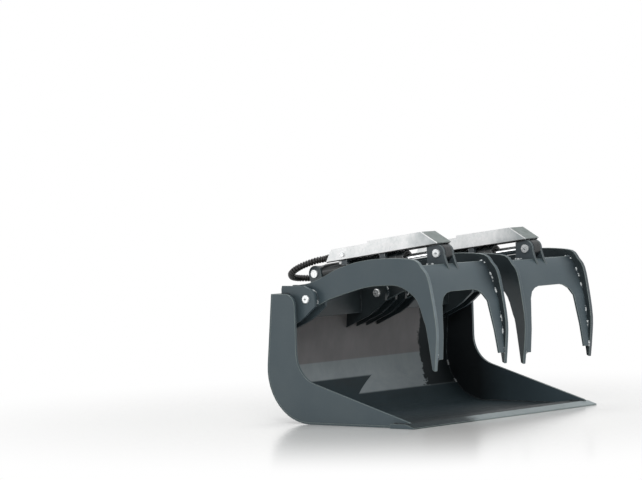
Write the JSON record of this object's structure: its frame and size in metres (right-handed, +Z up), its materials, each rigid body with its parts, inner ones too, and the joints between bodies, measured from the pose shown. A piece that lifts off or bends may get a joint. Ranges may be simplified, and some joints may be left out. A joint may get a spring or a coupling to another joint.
{
  "type": "grapple bucket",
  "caption": "Compact-loader grapple bucket: bent-sheet bucket with two hydraulically closed grapples of two curved tines each.",
  "frame": {"origin": "on the ground under the middle of the bucket, midway in the width and in the depth", "axes": "+X along the width towards the far side plate, -Y to the front where the cutting edge is, +Z up"},
  "size_m": [1.09, 0.8298, 0.6805],
  "materials": {
    "slate_paint": "satin dark slate-grey paint",
    "black_paint": "semi-gloss black paint",
    "edge_steel": "slate paint worn to bare steel along the bevel",
    "galvanised_steel": "hot-dip galvanised, matt spangle",
    "zinc_plated_steel": "bright zinc plating",
    "machined_steel": "machined, lightly oiled",
    "chromed_rod": "ground and hard chromed",
    "hose_rubber": "matt synthetic rubber",
    "guard_plastic": "matt black spiral guard"
  },
  "bodies": {
    "bucket": {"near_side_plate": "slate_paint", "far_side_plate": "slate_paint", "bent_shell": "slate_paint", "cutting_edge": "edge_steel", "top_beam": "slate_paint", "near_outer_ears": "slate_paint", "near_inner_ears": "slate_paint", "far_inner_ears": "slate_paint", "far_outer_ears": "slate_paint", "near_outer_pin": "zinc_plated_steel", "near_inner_pin": "zinc_plated_steel", "far_inner_pin": "zinc_plated_steel", "far_outer_pin": "zinc_plated_steel", "pin_bolts": "zinc_plated_steel", "near_bracket": "slate_paint", "far_bracket": "slate_paint", "near_rear_pin": "zinc_plated_steel", "far_rear_pin": "zinc_plated_steel", "near_hitch_plate": "slate_paint", "far_hitch_plate": "slate_paint", "hitch_tube": "slate_paint", "manifold": "machined_steel", "hose_clips": "zinc_plated_steel", "coupler_holder": "slate_paint", "multi_coupler": "zinc_plated_steel", "inner_supply_hose": "hose_rubber", "outer_supply_hose": "hose_rubber", "supply_guard": "guard_plastic"},
    "near_grapple": {"near_outer_tine": "slate_paint", "near_inner_tine": "slate_paint", "near_bushes": "slate_paint", "near_cross_plate": "slate_paint", "near_clevis": "slate_paint", "near_rod_pin": "zinc_plated_steel"},
    "far_grapple": {"far_inner_tine": "slate_paint", "far_outer_tine": "slate_paint", "far_bushes": "slate_paint", "far_cross_plate": "slate_paint", "far_clevis": "slate_paint", "far_rod_pin": "zinc_plated_steel"},
    "near_cylinder": {"near_barrel": "black_paint", "near_gland": "black_paint", "near_cover": "galvanised_steel", "near_cover_posts": "slate_paint", "near_elbow": "zinc_plated_steel", "near_valve_block": "machined_steel", "jumper_hose": "hose_rubber", "jumper_guard": "guard_plastic"},
    "near_rod_body": {"near_rod": "chromed_rod", "near_piston": "machined_steel"},
    "far_cylinder": {"far_barrel": "black_paint", "far_gland": "black_paint", "far_cover": "galvanised_steel", "far_cover_posts": "slate_paint", "far_elbow": "zinc_plated_steel", "far_valve_block": "machined_steel"},
    "far_rod_body": {"far_rod": "chromed_rod", "far_piston": "machined_steel"}
  },
  "joints": [
    {"name": "near_grapple_hinge", "type": "hinge", "parent": "bucket", "child": "near_grapple", "pos_m": [-0.26, 0.15458, 0.447], "axis": [1, 0, 0], "range_deg": [-48, 5]},
    {"name": "near_cylinder_hinge", "type": "hinge", "parent": "bucket", "child": "near_cylinder", "pos_m": [-0.26, 0.28458, 0.527], "axis": [1, 0, 0], "range_deg": [-40.5, 4.3]},
    {"name": "near_rod_slide", "type": "slide", "parent": "near_cylinder", "child": "near_rod_body", "axis": [0, -0.9909, 0.1343], "range_m": [-0.1039, 0.0109]},
    {"name": "far_grapple_hinge", "type": "hinge", "parent": "bucket", "child": "far_grapple", "pos_m": [0.26, 0.15458, 0.447], "axis": [1, 0, 0], "range_deg": [-49.1, 3.9]},
    {"name": "far_cylinder_hinge", "type": "hinge", "parent": "bucket", "child": "far_cylinder", "pos_m": [0.26, 0.28458, 0.527], "axis": [1, 0, 0], "range_deg": [-41.35, 3.35]},
    {"name": "far_rod_slide", "type": "slide", "parent": "far_cylinder", "child": "far_rod_body", "axis": [0, -0.9929, 0.1192], "range_m": [-0.1055, 0.0085]}
  ],
  "couplings": [
    {"joint": "near_cylinder_hinge", "follows": "near_grapple_hinge", "ratio": 0.8427},
    {"joint": "near_rod_slide", "follows": "near_grapple_hinge", "m_per_rad": 0.1239},
    {"joint": "far_cylinder_hinge", "follows": "far_grapple_hinge", "ratio": 0.8411},
    {"joint": "far_rod_slide", "follows": "far_grapple_hinge", "m_per_rad": 0.123}
  ]
}
